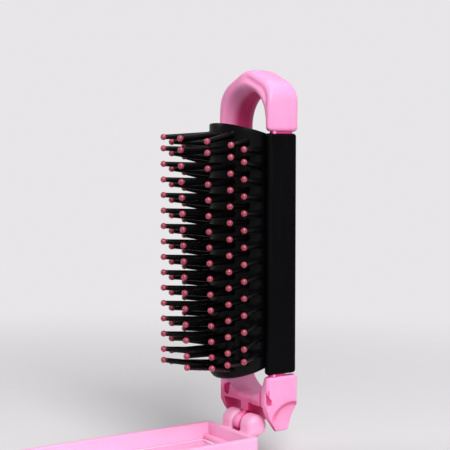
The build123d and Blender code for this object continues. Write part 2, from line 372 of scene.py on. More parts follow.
def satin_bar():
    """The side bars: black plastic with a duller satin skin than the pins."""
    f = new_finish("satin_bar")
    place = f.place()
    slow = f.cloud(place, per_metre=60.0, detail=3.0)
    grain = f.cloud(place, per_metre=3800.0, roughness=0.6)
    scuff = f.cloud(f.stretch(place, (1.0, 1.0, 0.08)), per_metre=900.0, detail=3.0)
    scuff = scuff.between(0.5, 0.8)
    tone = f.mix(slow, BAR_BLACK, BAR_BLACK_WORN)
    tone = f.mix(scuff * 0.12, tone, BAR_SCUFF)
    return f.surface({
        "Base Color": tone,
        "Roughness": 0.46 + 0.08 * slow + 0.08 * scuff,
        "Normal": f.relief(grain, depth_mm=0.03, strength=0.3),
        "IOR": 1.45,
        "Specular IOR Level": 0.06,
    })


def rose_tip():
    """Dipped balls: dusty rose, each a little different, slightly darker in the dips."""
    f = new_finish("rose_tip")
    place = f.place()
    each = f.cloud(place, per_metre=310.0, detail=1.0)
    skin = f.cloud(place, per_metre=2600.0, detail=3.0, roughness=0.6)
    tone = f.mix(each.between(0.3, 0.7), ROSE, LIGHTER_ROSE)
    tone = f.mix(skin.between(0.45, 0.75) * 0.4, tone, DIP_ROSE)
    return f.surface({
        "Base Color": tone,
        "Roughness": 0.30 + 0.14 * skin,
        "Normal": f.relief(skin, depth_mm=0.03, strength=0.4),
        "Subsurface Weight": 0.1,
        "Subsurface Radius": (1.0, 0.3, 0.4),
        "Subsurface Scale": 0.0006,
        "Coat Weight": 0.4,
        "Coat Roughness": 0.2,
    })


# Width of the mirror's ground edge, and of its border with the silver
GROUND_EDGE = 1.2
GROUND_BORDER = 0.1


def silvered_glass():
    """The mirror: silver under glass with a ground edge, light smears and a few specks."""
    f = new_finish("silvered_glass")
    place = f.place()
    smear = f.cloud(f.stretch(place, (1.0, 0.3, 1.0)), per_metre=160.0, detail=4.0, roughness=0.6)
    smear = smear.between(0.45, 0.8)
    speck = f.cloud(place, per_metre=3000.0, detail=1.0).between(0.74, 0.8)
    tone = f.mix(speck * 0.4, SILVER, SPECK)
    aside, along, _ = f.parts_from(place, (0, (PANE_START + PANE_END) / 2, 0))
    ground = None
    for distance, half in ((aside, PANE_HALF_WIDTH), (along, (PANE_END - PANE_START) / 2)):
        start = half - GROUND_EDGE
        edge = distance.size().between_mm(start - GROUND_BORDER, start)
        ground = ground.at_least(edge) if ground else edge
    tone = f.mix(ground, tone, GROUND_GLASS)
    return f.surface({
        "Base Color": tone,
        "Metallic": 1.0 - 0.85 * ground,
        "Roughness": 0.025 + 0.07 * smear + 0.25 * speck + 0.35 * ground,
    })


def foam_tape():
    f = new_finish("foam_tape")
    cells = f.node("TexVoronoi", {}, {"Vector": f.place(), "Scale": 2600.0})
    return f.surface({
        "Base Color": f.mix(cells.between(0.1, 0.6), FOAM_HOLE, FOAM),
        "Roughness": 0.8 + 0.1 * cells,
        "Normal": f.relief(cells, depth_mm=0.1, strength=0.6),
    })


def drawn_wire():
    f = new_finish("drawn_wire")
    lines = f.cloud(f.stretch(f.place(), (0.04, 1.0, 1.0)), per_metre=5200.0, detail=3.0)
    return f.surface({
        "Base Color": f.mix(lines, WIRE, WIRE_SHINE),
        "Metallic": 1.0,
        "Roughness": 0.24 + 0.2 * lines,
        "Normal": f.relief(lines, depth_mm=0.01, strength=0.4),
    })


# Meshes

def add_piece(name, mesh, body, finish, nodes=()):
    """Put a finished mesh in the scene, on its body, for the nodes that it replaces."""
    piece = bpy.data.objects.new(name, mesh)
    bpy.context.scene.collection.objects.link(piece)
    mesh.materials.clear()
    mesh.materials.append(finish)
    for face in mesh.polygons:
        face.use_smooth = True
    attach(piece, body)
    if nodes:
        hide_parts(*nodes)


def grid_faces(rows, columns, round_rows=False, round_columns=False):
    """The four-sided faces of points that lie in rows and columns."""
    faces = []
    for i in range(rows if round_rows else rows - 1):
        for j in range(columns if round_columns else columns - 1):
            i2 = (i + 1) % rows
            j2 = (j + 1) % columns
            faces.append((i * columns + j, i * columns + j2, i2 * columns + j2, i2 * columns + j))
    return faces


def ring_faces(rings, count):
    """The faces between rings of points, with one face to close each end."""
    faces = grid_faces(rings, count, round_columns=True)
    faces.append(tuple(range(count))[::-1])
    faces.append(tuple(range((rings - 1) * count, rings * count)))
    return faces


def circle(sides):
    """The cosine and sine of each point of a circle."""
    return [(cos(2 * pi * k / sides), sin(2 * pi * k / sides)) for k in range(sides)]


def quarter_turns(steps):
    """Even turns from 0 to a quarter of a circle."""
    return [pi / 2 * k / steps for k in range(steps + 1)]


def from_hinge(points):
    """Points in millimetres from the hinge, as places in metres."""
    return [HINGE + Vector(p) * MM for p in points]


def built(name, points, faces):
    mesh = bpy.data.meshes.new(name)
    mesh.from_pydata([tuple(p) for p in points], [], faces)
    mesh.validate()
    return mesh


def applied(piece):
    """Bake a piece's modifiers into its mesh."""
    bpy.context.view_layer.update()
    shown = piece.evaluated_get(bpy.context.evaluated_depsgraph_get())
    mesh = bpy.data.meshes.new_from_object(shown)
    piece.modifiers.clear()
    piece.data = mesh
    return piece


def turned(base, tip, profile, sides):
    """A turned form between two points. The profile gives (distance from base, radius)."""
    axis = (tip - base).normalized()
    side = axis.cross(Vector((0, 0, 1))).normalized()
    other = axis.cross(side)
    points = [
        base + axis * along + (side * c + other * s) * radius
        for along, radius in profile for c, s in circle(sides)
    ]
    return points, ring_faces(len(profile), sides)


class Heap:
    """Many small forms gathered in one mesh."""

    def __init__(self):
        self.points = []
        self.faces = []

    def add(self, points, faces):
        start = len(self.points)
        self.points.extend(points)
        self.faces.extend(tuple(start + k for k in face) for face in faces)

    def mesh(self, name):
        return built(name, from_hinge(self.points), self.faces)


def outline_through(corners, steps):
    """An open outline through corners given as (across, up, rounding radius)."""
    points = [Vector(corners[0][:2])]
    for before, corner, after in zip(corners, corners[1:], corners[2:]):
        here = Vector(corner[:2])
        back = (Vector(before[:2]) - here).normalized()
        ahead = (Vector(after[:2]) - here).normalized()
        half = back.angle(ahead) / 2
        radius = corner[2]
        out = (back + ahead).normalized() * radius / sin(half)
        first = back * radius / tan(half) - out
        last = ahead * radius / tan(half) - out
        for k in range(steps + 1):
            share = k / steps
            way = (first * (1 - share) + last * share).normalized()
            points.append(here + out + way * radius)
    points.append(Vector(corners[-1][:2]))
    return points


def evenly(points, count):
    """The same outline with evenly spaced points."""
    lengths = [0.0]
    for a, b in zip(points, points[1:]):
        lengths.append(lengths[-1] + (b - a).length)
    result = []
    k = 0
    for i in range(count + 1):
        target = lengths[-1] * i / count
        while k < len(points) - 2 and lengths[k + 1] < target:
            k += 1
        share = (target - lengths[k]) / (lengths[k + 1] - lengths[k])
        result.append(points[k].lerp(points[k + 1], share))
    return result


def soft_step(value, low, high):
    """0 below low, 1 above high, and a soft step between them."""
    share = min(1, max(0, (value - low) / (high - low)))
    return share * share * (3 - 2 * share)


def form(name, points, faces, closed=True):
    """A loose object from points in millimetres from the hinge."""
    mesh = built(name, from_hinge(points), faces)
    if closed:
        work = bmesh.new()
        work.from_mesh(mesh)
        bmesh.ops.recalc_face_normals(work, faces=work.faces)
        work.to_mesh(mesh)
        work.free()
    piece = bpy.data.objects.new(name, mesh)
    bpy.context.scene.collection.objects.link(piece)
    return piece


def merged(piece, others, operation):
    """Join other forms to a piece, or cut them out of it, and delete them."""
    for other in others:
        cut = piece.modifiers.new(other.name, "BOOLEAN")
        cut.operation = operation
        cut.solver = "EXACT"
        cut.object = other
    applied(piece)
    for other in others:
        bpy.data.objects.remove(other)


def mesh_of(piece):
    """Keep the mesh of a loose object and delete the object."""
    mesh = piece.data
    bpy.data.objects.remove(piece)
    return mesh


# How far large faces win over the small ones beside them
FLAT_FACE_WEIGHT = 80


def even_shading(piece):
    """Flat faces stay flat beside their rounded edges."""
    for face in piece.data.polygons:
        face.use_smooth = True
    shading = piece.modifiers.new("shading", "WEIGHTED_NORMAL")
    shading.weight = FLAT_FACE_WEIGHT
    return applied(piece)


def rod(name, radius, x0, x1, sides=40):
    """A round cutter along the hinge axis."""
    start = Vector((x0, 0, 0))
    end = Vector((x1, 0, 0))
    return form(name, *turned(start, end, [(0, radius), (x1 - x0, radius)], sides))


def upright_rod(name, radius, x, y, z0, z1, sides=32):
    points = [(x + radius * c, y + radius * s, z) for z in (z0, z1) for c, s in circle(sides)]
    return form(name, points, ring_faces(2, sides))


# Corners are never sharper than this, and the flats beside them get a row of points this near
LEAST_CORNER = 0.08
BESIDE_CORNER = 0.35
CORNER_STEPS = 6


def rectangle(half_x, half_y, corner):
    """A rectangle with round corners, with points close beside each corner."""
    corner = max(corner, LEAST_CORNER)
    points = []
    for quarter, (sx, sy) in enumerate(((1, 1), (-1, 1), (-1, -1), (1, -1))):
        middle = Vector((sx * (half_x - corner), sy * (half_y - corner)))
        start = quarter * pi / 2
        before = Vector((cos(start - pi / 2), sin(start - pi / 2)))
        after = Vector((cos(start + pi), sin(start + pi)))
        arc = []
        for turn in quarter_turns(CORNER_STEPS):
            arc.append(middle + Vector((cos(start + turn), sin(start + turn))) * corner)
        points.append(arc[0] + before * BESIDE_CORNER)
        points.extend(arc)
        points.append(arc[-1] + after * BESIDE_CORNER)
    return points


def stack(levels):
    """A closed form from outlines of the same count at their heights."""
    points = [(p[0], p[1], z) for outline, z in levels for p in outline]
    return points, ring_faces(len(levels), len(levels[0][0]))


def slab(half_width, start, end, corner, profile):
    """A slab from one Y to another. The profile gives (inset from the edge, height)."""
    half_length = (end - start) / 2
    middle = (end + start) / 2
    levels = []
    for inset, z in profile:
        outline = rectangle(half_width - inset, half_length - inset, corner)
        levels.append(([(x, y + middle) for x, y in outline], z))
    return stack(levels)


# The tray: one shell with a foot and two bulbous knuckles
TRAY_HALF_WIDTH = 12.7
TRAY_HALF_LENGTH = 50.0
TRAY_MIDDLE_Y = -53.6
TRAY_UNDERSIDE = -10.65
TRAY_CORNER = 0.9
TRAY_INSIDE_CORNER = 0.5
# How far in from the tray's side, height above its underside
TRAY_PROFILE = [
    (0.45, 0.0), (0.18, 0.06), (0.04, 0.2), (0.0, 0.4), (0.0, 0.6), (0.0, 8.3), (0.0, 8.5),
    (0.03, 8.75), (0.12, 8.95), (0.26, 9.07), (0.42, 9.1), (0.5, 9.1), (1.32, 9.1), (1.4, 9.1),
    (1.58, 9.06), (1.7, 8.96), (1.78, 8.8), (1.8, 8.6), (1.8, 8.4), (1.8, 3.3), (1.8, 3.15),
    (1.84, 2.95), (1.95, 2.81), (2.15, 2.75), (2.3, 2.75),
]
# The rim's middle, where the profile passes from the outside to the inside
RIM_MIDDLE = 1.0
WALL_END = -3.6
# The foot: how far in from its side, height above the tray's underside
FOOT = [(0.3, 0.0), (0.08, 0.07), (0.0, 0.3), (0.0, 3.6), (0.06, 3.85), (0.2, 3.97), (0.4, 4.0)]
FOOT_BACK = -5.0
FOOT_FRONT = -2.7
FOOT_CORNER = 0.6
KNUCKLE_INNER = 1.9
KNUCKLE_OUTER = 7.6
KNUCKLE_RADIUS = 3.2
KNUCKLE_SOFT_INNER = 1.3
KNUCKLE_SOFT_OUTER = 1.7
KNUCKLE_INNER_STEPS = 7
KNUCKLE_OUTER_STEPS = 9
KNUCKLE_ARC_STEPS = 36
# The knuckle's round starts this share of a half turn below the axis and ends towards the wall
KNUCKLE_ROUND_FROM = 0.62
# Heights where the knuckle meets the foot, leaves its round in front and meets the wall
KNUCKLE_FOOT = -6.65
KNUCKLE_NECK = -1.6
KNUCKLE_ROOT = -1.75
KNUCKLE_ROOT_SOFT = 0.2
# How far the knuckle reaches into the wall, so that the two join
KNUCKLE_IN_WALL = 0.9
# The pin's bore comes in from the far side and stops short of the near knuckle's end
BORE_RADIUS = 0.84
BORE_OVERRUN = 0.5
BLIND_WALL = 1.2


def tray_body():
    levels = []
    for inset, height in TRAY_PROFILE:
        corner = TRAY_CORNER - inset if inset < RIM_MIDDLE else TRAY_INSIDE_CORNER
        outline = rectangle(TRAY_HALF_WIDTH - inset, TRAY_HALF_LENGTH - inset, corner)
        moved = [(x, y + TRAY_MIDDLE_Y) for x, y in outline]
        levels.append((moved, TRAY_UNDERSIDE + height))
    return form("tray_body", *stack(levels))


def tray_foot():
    profile = [(inset, TRAY_UNDERSIDE + height) for inset, height in FOOT]
    shape = slab(TRAY_HALF_WIDTH, FOOT_BACK, FOOT_FRONT, FOOT_CORNER, profile)
    return form("tray_foot", *shape)


def knuckle(side):
    """Round above and behind, with a root that slopes down to the foot in front."""
    stops = []
    for turn in quarter_turns(KNUCKLE_INNER_STEPS):
        x = KNUCKLE_INNER + KNUCKLE_SOFT_INNER * (1 - cos(turn))
        stops.append((x, KNUCKLE_SOFT_INNER * (1 - sin(turn))))
    for turn in quarter_turns(KNUCKLE_OUTER_STEPS):
        x = KNUCKLE_OUTER - KNUCKLE_SOFT_OUTER * (1 - sin(turn))
        stops.append((x, KNUCKLE_SOFT_OUTER * (1 - cos(turn))))
    in_wall = WALL_END - KNUCKLE_IN_WALL
    points = []
    for x, inset in stops:
        radius = KNUCKLE_RADIUS - inset
        foot = KNUCKLE_FOOT + inset
        root = KNUCKLE_ROOT - inset * KNUCKLE_ROOT_SOFT
        outline = [(in_wall, foot), (WALL_END, foot)]
        for k in range(KNUCKLE_ARC_STEPS + 1):
            share = (1 + KNUCKLE_ROUND_FROM) * k / KNUCKLE_ARC_STEPS
            turn = pi * (share - KNUCKLE_ROUND_FROM)
            outline.append((radius * cos(turn), radius * sin(turn)))
        outline += [(-radius, KNUCKLE_NECK), (WALL_END, root), (in_wall, root)]
        points.extend((side * x, y, z) for y, z in outline)
    return form(f"knuckle_{side}", points, ring_faces(len(stops), len(points) // len(stops)))


def tray(finish):
    body = tray_body()
    merged(body, [tray_foot(), knuckle(-1), knuckle(1)], "UNION")
    bore = rod("bore", BORE_RADIUS, -KNUCKLE_OUTER - BORE_OVERRUN, KNUCKLE_OUTER - BLIND_WALL)
    merged(body, [bore], "DIFFERENCE")
    even_shading(body)
    add_piece("tray", mesh_of(body), "tray", finish, ["tray_shell"])


# The mirror: a thin pane, with a ledge between it and the hinge end's wall
PANE_BOTTOM = -7.3
PANE_TOP = -6.25
PANE_HALF_WIDTH = 10.65
PANE_START = -101.55
PANE_END = -7.2
PANE_CORNER = 0.4
PANE_PROFILE = [
    (0.12, PANE_BOTTOM), (0.0, PANE_BOTTOM + 0.12), (0.0, PANE_TOP - 0.14),
    (0.05, PANE_TOP - 0.08), (0.85, PANE_TOP - 0.01), (0.95, PANE_TOP),
]
LEDGE_HALF_WIDTH = 10.9
LEDGE_START = -7.1
LEDGE_END = -5.4
LEDGE_BOTTOM = -7.9
LEDGE_TOP = -4.95
LEDGE_CORNER = 0.25
LEDGE_PROFILE = [
    (0.0, LEDGE_BOTTOM), (0.0, LEDGE_TOP - 0.3), (0.03, LEDGE_TOP - 0.16),
    (0.12, LEDGE_TOP - 0.04), (0.26, LEDGE_TOP),
]


def mirror(glass, plastic):
    shape = slab(PANE_HALF_WIDTH, PANE_START, PANE_END, PANE_CORNER, PANE_PROFILE)
    pane = even_shading(form("pane", *shape))
    add_piece("mirror_pane", mesh_of(pane), "tray", glass, ["mirror_glass"])
    shape = slab(LEDGE_HALF_WIDTH, LEDGE_START, LEDGE_END, LEDGE_CORNER, LEDGE_PROFILE)
    ledge = even_shading(form("ledge", *shape))
    add_piece("mirror_ledge", mesh_of(ledge), "tray", plastic)


# The arch: a gabled band around a round-headed opening, domed from front to back. Apart from
# its lug, the yoke has the same front, back and half width.
FRONT = -0.4
BACK = 10.3
HALF_FRAME = 12.7
LEG_INSIDE = 9.85
ARCH_BOTTOM = 84.2
HEAD_MIDDLE = ARCH_BOTTOM + 1.85
# Heights above the arch's bottom
ARCH_SHOULDER = 13.1
ARCH_PEAK = 18.5
CROWN_STARTS = 5
CROWN_FULL = 15
# How far the crown's front and back edges drop below its middle
CROWN_DROP = 0.7
# Radii of the rounded corners, and the depth that the inside's front corner reaches
SHOULDER_ROUND = 6.8
PEAK_ROUND = 6.8
INSIDE_FRONT_ROUND = 1.75
INSIDE_FRONT_DEPTH = 3.6
CROWN_INSIDE_ROUND = 2.6
OUTSIDE_FRONT_ROUND = 0.9
CROWN_FRONT_ROUND = 2.3
OUTSIDE_BACK_ROUND = 1.7
INSIDE_BACK_ROUND = 1.1
# The dip along the outer edge of the front, fainter on the far half
GROOVE_DEPTH = 0.75
GROOVE_IN = 2.0
GROOVE_WIDTH = 1.2
GROOVE_BACK = 4.0
GROOVE_FAR_SHARE = 0.3
GROOVE_CHANGE = 3.0
LEG_END_ROUND = 1.2
LEG_END_STEPS = 6
GABLE_STEPS = 24
ARCH_RINGS = 110
SECTION_ARC_STEPS = 8
SECTION_FLAT_POINTS = 7
# The rails' place, and the holes for them in the arch's legs
RAIL_X = 11.2
RAIL_Y = 2.2
RAIL_HOLE = 0.95
RAIL_SOCKET = 4.0
# How far outside a face its cutters start
CUTTER_START = 1


def arch_outline():
    """Up the near side, over the peak and down the far side, evenly spaced."""
    gable = [
        (HALF_FRAME, LEG_END_ROUND, 0), (HALF_FRAME, ARCH_SHOULDER, SHOULDER_ROUND),
        (0, ARCH_PEAK, PEAK_ROUND),
        (-HALF_FRAME, ARCH_SHOULDER, SHOULDER_ROUND), (-HALF_FRAME, LEG_END_ROUND, 0),
    ]
    return evenly(outline_through(gable, GABLE_STEPS), ARCH_RINGS)


def opening_beside(outer):
    """The point on the opening's edge that faces a point of the outline."""
    if outer.y <= HEAD_MIDDLE:
        return Vector((LEG_INSIDE if outer.x > 0 else -LEG_INSIDE, outer.y))
    head = Vector((0, HEAD_MIDDLE))
    return head + (outer - head).normalized() * LEG_INSIDE


def band_section(width, crown, groove):
    """The arch's section as (distance from the opening, depth). Crown is 0 on a leg, 1 on top,
    and groove is the share of the dip along the outer edge."""
    front_round = OUTSIDE_FRONT_ROUND + (CROWN_FRONT_ROUND - OUTSIDE_FRONT_ROUND) * crown
    inside_round = INSIDE_FRONT_ROUND + (CROWN_INSIDE_ROUND - INSIDE_FRONT_ROUND) * crown
    corners = [
        (0, FRONT, inside_round), (width, FRONT, front_round),
        (width, BACK, OUTSIDE_BACK_ROUND), (0, BACK, INSIDE_BACK_ROUND),
    ]
    loop = outline_through([corners[-1]] + corners + [corners[0]], SECTION_ARC_STEPS)[1:-1]
    count = SECTION_ARC_STEPS + 1
    arcs = [loop[k * count:(k + 1) * count] for k in range(len(corners))]
    section = []
    for arc, following in zip(arcs, arcs[1:] + arcs[:1]):
        section.extend(arc)
        for k in range(SECTION_FLAT_POINTS):
            section.append(arc[-1].lerp(following[0], (k + 1) / (SECTION_FLAT_POINTS + 1)))
    grooved = []
    back_start = BACK - INSIDE_BACK_ROUND
    for across, depth in section:
        if across <= inside_round and depth < back_start:
            # The inside's front round reaches deeper than it is wide
            if depth < FRONT + inside_round:
                depth = FRONT + (depth - FRONT) * INSIDE_FRONT_DEPTH / inside_round
            else:
                share = (back_start - depth) / (back_start - FRONT - inside_round)
                depth = back_start - share * (back_start - FRONT - INSIDE_FRONT_DEPTH)
        aside = (across - (width - GROOVE_IN)) / GROOVE_WIDTH
        near_front = soft_step(GROOVE_BACK - depth, 0, GROOVE_BACK)
        depth += GROOVE_DEPTH * groove * exp(-aside * aside) * near_front
        grooved.append((across, depth))
    return grooved


def end_rounds(ring):
    """The (inset, lift) of each section at a ring: one, or several that round a leg's end."""
    if ring not in (0, ARCH_RINGS):
        return [(0.0, 0.0)]
    rounds = []
    for turn in quarter_turns(LEG_END_STEPS):
        rounds.append((LEG_END_ROUND * (1 - sin(turn)), -LEG_END_ROUND * cos(turn)))
    return rounds if ring == 0 else rounds[::-1]


def arch(finish):
    middle_depth = (FRONT + BACK) / 2
    half_depth = (BACK - FRONT) / 2
    points = []
    for ring, outer in enumerate(arch_outline()):
        outer = Vector((outer.x, outer.y + ARCH_BOTTOM))
        inner = opening_beside(outer)
        width = (outer - inner).length
        across = (outer - inner) / width
        crown = soft_step(outer.y - ARCH_BOTTOM, CROWN_STARTS, CROWN_FULL)
        near = soft_step(outer.x, -GROOVE_CHANGE, GROOVE_CHANGE)
        groove = crown * (GROOVE_FAR_SHARE + (1 - GROOVE_FAR_SHARE) * near)
        section = band_section(width, crown, groove)
        for inset, lift in end_rounds(ring):
            for a, depth in section:
                a2 = width / 2 + (a - width / 2) * (1 - inset / (width / 2))
                d2 = middle_depth + (depth - middle_depth) * (1 - inset / half_depth)
                spot = inner + across * a2
                dome = ((d2 - middle_depth) / half_depth) ** 2
                drop = CROWN_DROP * crown * dome * a2 / width
                points.append((spot.x, d2, spot.y + lift - drop))
    piece = form("arch_form", points, ring_faces(len(points) // len(section), len(section)))
    low = ARCH_BOTTOM - CUTTER_START
    high = ARCH_BOTTOM + RAIL_SOCKET
    holes = []
    for side in (-1, 1):
        holes.append(upright_rod(f"hole_{side}", RAIL_HOLE, side * RAIL_X, RAIL_Y, low, high))
    merged(piece, holes, "DIFFERENCE")
    add_piece("arch", mesh_of(piece), "brush", finish, ["frame_arch"])


# The flat necks that fill the gaps above and below the side bars: from and to, in Y and in Z
NECKS = [(1.2, 8.6, 83.2, 84.9), (0.8, 6.4, 14.3, 16.0)]
NECK_HALF_WIDTH = 0.75
NECK_CORNER = 0.7
NECK_STEPS = 4


def necks(finish):
    heap = Heap()
    for y0, y1, z0, z1 in NECKS:
        for side in (-1, 1):
            outline = rectangle(NECK_HALF_WIDTH, (y1 - y0) / 2, NECK_CORNER)
            moved = [(x + side * RAIL_X, y + (y0 + y1) / 2) for x, y in outline]
            heights = [z0 + (z1 - z0) * k / NECK_STEPS for k in range(NECK_STEPS + 1)]
            heap.add(*stack([(moved, z) for z in heights]))
    add_piece("necks", heap.mesh("necks"), "brush", finish)


# The yoke: the moulded solid with softened edges, recesses and rounded lug. Points this close
# are one point, and the whole is made again in grains of this size and smoothed.
YOKE_WELD = 0.002
YOKE_GRAIN = 0.17
YOKE_SMOOTHING = 0.5
YOKE_SMOOTHING_ROUNDS = 10
LUG_HALF = 1.7
LUG_SOFT = 1.2
LUG_STEPS = 8
LUG_SIDES = 48
LUG_CUT_PAST_END = 0.3
LUG_CUT_PAST_ROUND = 0.25
# Cuts in the yoke's front: an outline in X and Z, and the depth at its left and right
YOKE_CUTS = {
    "far_recess": ([(-10.2, 9.4), (-7.6, 10.3), (-7.1, 8.6), (-8.0, 6.7), (-9.8, 7.2)], 0.3, 1.5),
    "near_slit": ([(11.2, 11.2), (12.0, 9.4), (12.9, 8.2), (13.2, 6.8), (11.0, 7.2)], 0.3, 1.9),
    "bridge_hollow": ([(-6.0, 9.6), (4.4, 8.8), (4.4, 5.0), (-6.0, 5.0)], 0.15, 0.6),
    "bridge_groove": ([(7.9, 10.0), (8.9, 10.9), (8.9, 5.0), (7.9, 5.0)], 0.3, 0.7),
}
# The egg that hollows the cheek's outer face
SCOOP_MIDDLE = (13.9, 8.0, 1.5)
SCOOP_REACH = (3.0, 7.2, 6.4)
SCOOP_RINGS = 24
SCOOP_SIDES = 40
SCOOP_POLE = 0.01


def wedge(name, outline, depth_left, depth_right):
    """A cutter from the front: an outline in X and Z, cut deeper on one side."""
    low = min(x for x, z in outline)
    high = max(x for x, z in outline)
    points = [(x, FRONT - CUTTER_START, z) for x, z in outline]
    for x, z in outline:
        share = (x - low) / (high - low)
        points.append((x, FRONT + depth_left + (depth_right - depth_left) * share, z))
    return form(name, points, ring_faces(2, len(outline)))


def rim_cutter(side):
    """Takes the edge off the lug's end face."""
    past_end = LUG_HALF + LUG_CUT_PAST_END
    past_round = KNUCKLE_RADIUS + LUG_CUT_PAST_ROUND
    profile = [(past_end, KNUCKLE_RADIUS - LUG_SOFT)]
    for turn in quarter_turns(LUG_STEPS):
        x = LUG_HALF - LUG_SOFT * (1 - cos(turn))
        profile.append((x, KNUCKLE_RADIUS - LUG_SOFT * (1 - sin(turn))))
    profile += [(LUG_HALF - LUG_SOFT, past_round), (past_end, past_round)]
    points = []
    for x, radius in profile:
        points.extend((side * x, radius * c, radius * s) for c, s in circle(LUG_SIDES))
    faces = grid_faces(len(profile), LUG_SIDES, round_rows=True, round_columns=True)
    return form(f"rim_{side}", points, faces)


def scoop_cutter(side):
    """An egg-shaped cutter for the hollow on the cheek's outer face."""
    points = []
    for i in range(SCOOP_RINGS + 1):
        polar = pi * (SCOOP_POLE + (1 - 2 * SCOOP_POLE) * i / SCOOP_RINGS)
        for c, s in circle(SCOOP_SIDES):
            way = (cos(polar), sin(polar) * c, sin(polar) * s)
            x, y, z = [m + r * w for m, r, w in zip(SCOOP_MIDDLE, SCOOP_REACH, way)]
            points.append((side * x, y, z))
    return form(f"scoop_{side}", points, ring_faces(SCOOP_RINGS + 1, SCOOP_SIDES))


def yoke(finish):
    solid = frame["nodes"]["frame_yoke"].data.copy()
    piece = bpy.data.objects.new("yoke_form", solid)
    bpy.context.scene.collection.objects.link(piece)
    weld = piece.modifiers.new("weld", "WELD")
    weld.merge_threshold = YOKE_WELD * MM
    applied(piece)
    cutters = [wedge(name, *cut) for name, cut in YOKE_CUTS.items()]
    cutters += [rim_cutter(-1), rim_cutter(1), scoop_cutter(-1), scoop_cutter(1)]
    merged(piece, cutters, "DIFFERENCE")
    skin = piece.modifiers.new("skin", "REMESH")
    skin.mode = "VOXEL"
    skin.voxel_size = YOKE_GRAIN * MM
    soft = piece.modifiers.new("soft", "SMOOTH")
    soft.factor = YOKE_SMOOTHING
    soft.iterations = YOKE_SMOOTHING_ROUNDS
    applied(piece)
    add_piece("yoke", mesh_of(piece), "brush", finish, ["frame_yoke"])


# The pin sheet: half a tube with short flanks, its ends sloping back from the crown
SHEET_RADIUS = 9.85
SHEET_QUARTER = SHEET_RADIUS * pi / 2
SHEET_FORWARD = 0.2
SHEET_THICKNESS = 1.2
SHEET_FLANK = 2.4
SHEET_MIDDLE = 50.3
SHEET_HALF_CROWN = 36.35
SHEET_SLOPE = 2.7 / SHEET_RADIUS
SHEET_SOFT_EDGE = 0.3
SHEET_EDGE_STEPS = 3
SHEET_EDGE_ANGLE = radians(60)
LOW_END_TURN = 1.7
LOW_END_TUCK = 1.1
FLANK_STEPS = 5
SHEET_ARC_STEPS = 56
SHEET_ROWS = 56
# Heights above the low end of the rows that tuck it in
LOW_ROWS = [0.0, 0.06, 0.2, 0.4, 0.65, 0.95, 1.3, LOW_END_TURN]

COLUMN_SPACING = 4.0
ROW_PITCH = 4.4
END_ROW_LEAN = 1.2
# The lowest tips of the left inner column stand behind the crown's
RAISED_TIPS = 2
RAISED_TIPS_BY = 0.9
BALL_RADIUS = 0.88
# Pins in each column, and for the left and the right side how far the balls stand out, the
# pitch and shift of the tips in shares of the row pitch, and the lean of top and bottom pins
COLUMNS = {
    "crown": (16, {-1: (14.6, 0.987, 0.22, 9.7, 11.4), 1: (14.6, 0.985, 0.11, 10.1, 19.6)}),
    "inner": (16, {-1: (11.4, 1.005, -0.21, 12.9, 17.2), 1: (11.4, 0.974, 0.0, 21.4, 29.1)}),
    "outer": (15, {-1: (11.8, 1.029, 0.155, 34.0, 32.0), 1: (11.8, 1.008, 0.02, 36.7, 31.9)}),
    "flank": (14, {-1: (10.8, 1.053, 0.32, 36.0, 35.0), 1: (11.6, 1.053, -0.03, 34.4, 34.8)}),
}
# A pin's radius at distances from its root, at shares of its length and past its ball's centre
PIN_SUNK = 0.5
PIN_ROOT = [(0.0, 1.30), (0.5, 1.16), (0.8, 1.06), (1.3, 1.0), (2.2, 0.97)]
PIN_SHAFT = [(0.35, 0.91), (0.6, 0.82), (0.8, 0.75)]
PIN_END = [(-0.6, 0.70), (0.1, 0.66)]
PIN_SIDES = 14
# A ball's outline: its start and span in half turns, and how flat its outer half is
BALL_START = 0.12
BALL_SPAN = 0.865
BALL_FLATTER = 0.94
BALL_STEPS = 12
BALL_SIDES = 18


def sheet_point(arc, side=1):
    """The sheet's X and Y at a distance round from its crown."""
    turn = arc / SHEET_RADIUS
    return (side * SHEET_RADIUS * sin(turn), -SHEET_FORWARD - SHEET_RADIUS * cos(turn))


def sheet_reach(y):
    """How far the sheet runs up and down from its middle at one depth."""
    return SHEET_HALF_CROWN - SHEET_SLOPE * (y + SHEET_FORWARD + SHEET_RADIUS)


def sheet_across():
    """The sheet's outline from one flank to the other."""
    depth = SHEET_FLANK + SHEET_FORWARD
    flank = [SHEET_FLANK - depth * k / FLANK_STEPS for k in range(FLANK_STEPS)]
    across = [(-SHEET_RADIUS, y) for y in flank]
    for k in range(SHEET_ARC_STEPS + 1):
        across.append(sheet_point(SHEET_QUARTER * (2 * k / SHEET_ARC_STEPS - 1)))
    return across + [(SHEET_RADIUS, y) for y in reversed(flank)]


def sheet_row(across, row):
    """One row of the sheet's points. The lowest rows are tucked inwards."""
    above = row - len(LOW_ROWS) + 1
    tuck = 0.0
    if above <= 0:
        tuck = LOW_END_TUCK * (1 - sqrt(1 - (1 - LOW_ROWS[row] / LOW_END_TURN) ** 2))
    points = []
    for x, y in across:
        reach = sheet_reach(y)
        if above <= 0:
            z = SHEET_MIDDLE - reach + LOW_ROWS[row]
        else:
            height = (2 * reach - LOW_END_TURN) * above / SHEET_ROWS
            z = SHEET_MIDDLE - reach + LOW_END_TURN + height
        if y < 0:
            out = Vector((x, y + SHEET_FORWARD)).normalized() * tuck
            points.append((x - out.x, y - out.y, z))
        else:
            points.append((x - tuck * (1 if x > 0 else -1), y, z))
    return points


